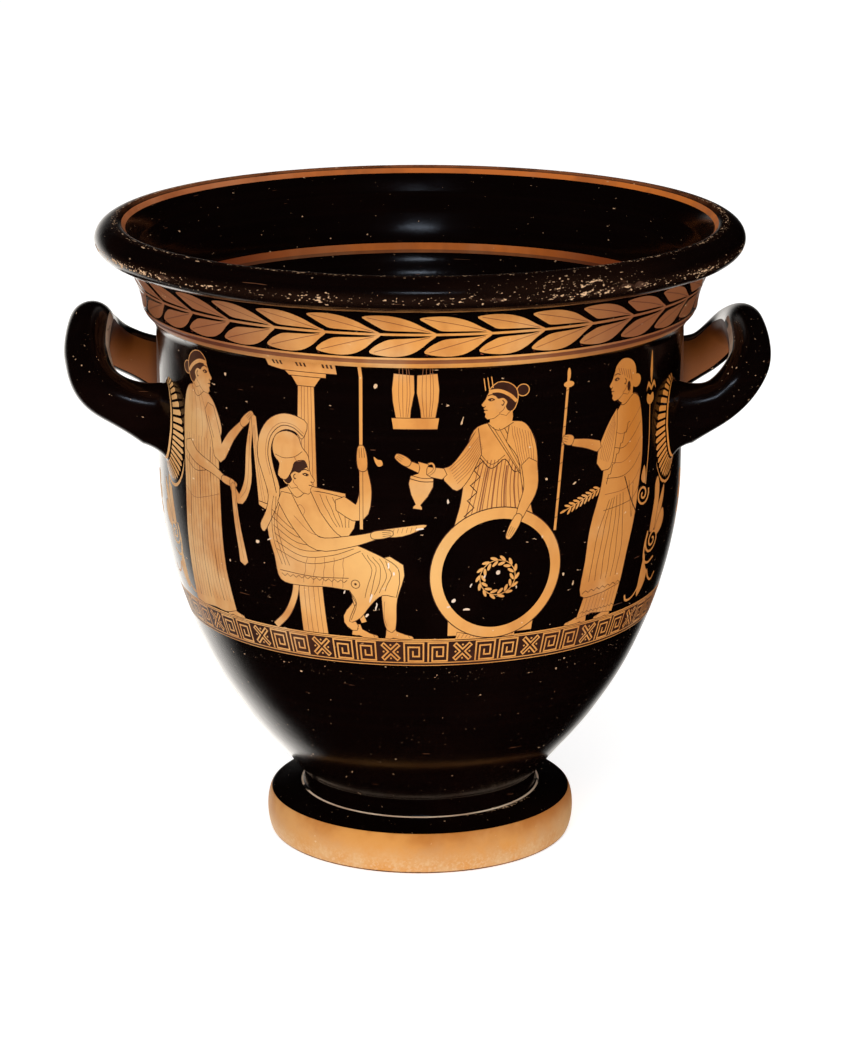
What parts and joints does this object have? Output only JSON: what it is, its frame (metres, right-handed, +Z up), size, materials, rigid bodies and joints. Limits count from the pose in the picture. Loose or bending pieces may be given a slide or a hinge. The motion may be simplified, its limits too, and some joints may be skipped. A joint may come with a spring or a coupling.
{
  "type": "bell krater",
  "caption": "Large red-figure bell krater: hollow fired-clay mixing bowl with rolled lip, laurel neck, painted scene, disc foot and upturned side handles.",
  "frame": {"origin": "centre of the resting ring under the foot, midway between the handles", "axes": "+Z up the axis on which the vessel was thrown; +X through the right-hand handle; -Y faces the viewer of the painted front"},
  "size_m": [0.4218, 0.39, 0.385],
  "materials": {
    "black_gloss": "glossy black slip over orange clay, worn and chipped along the lip",
    "reserved_clay": "smooth satin orange clay left in reserve, mottled to buff"
  },
  "bodies": {
    "root": {"krater": "black_gloss"}
  },
  "joints": []
}
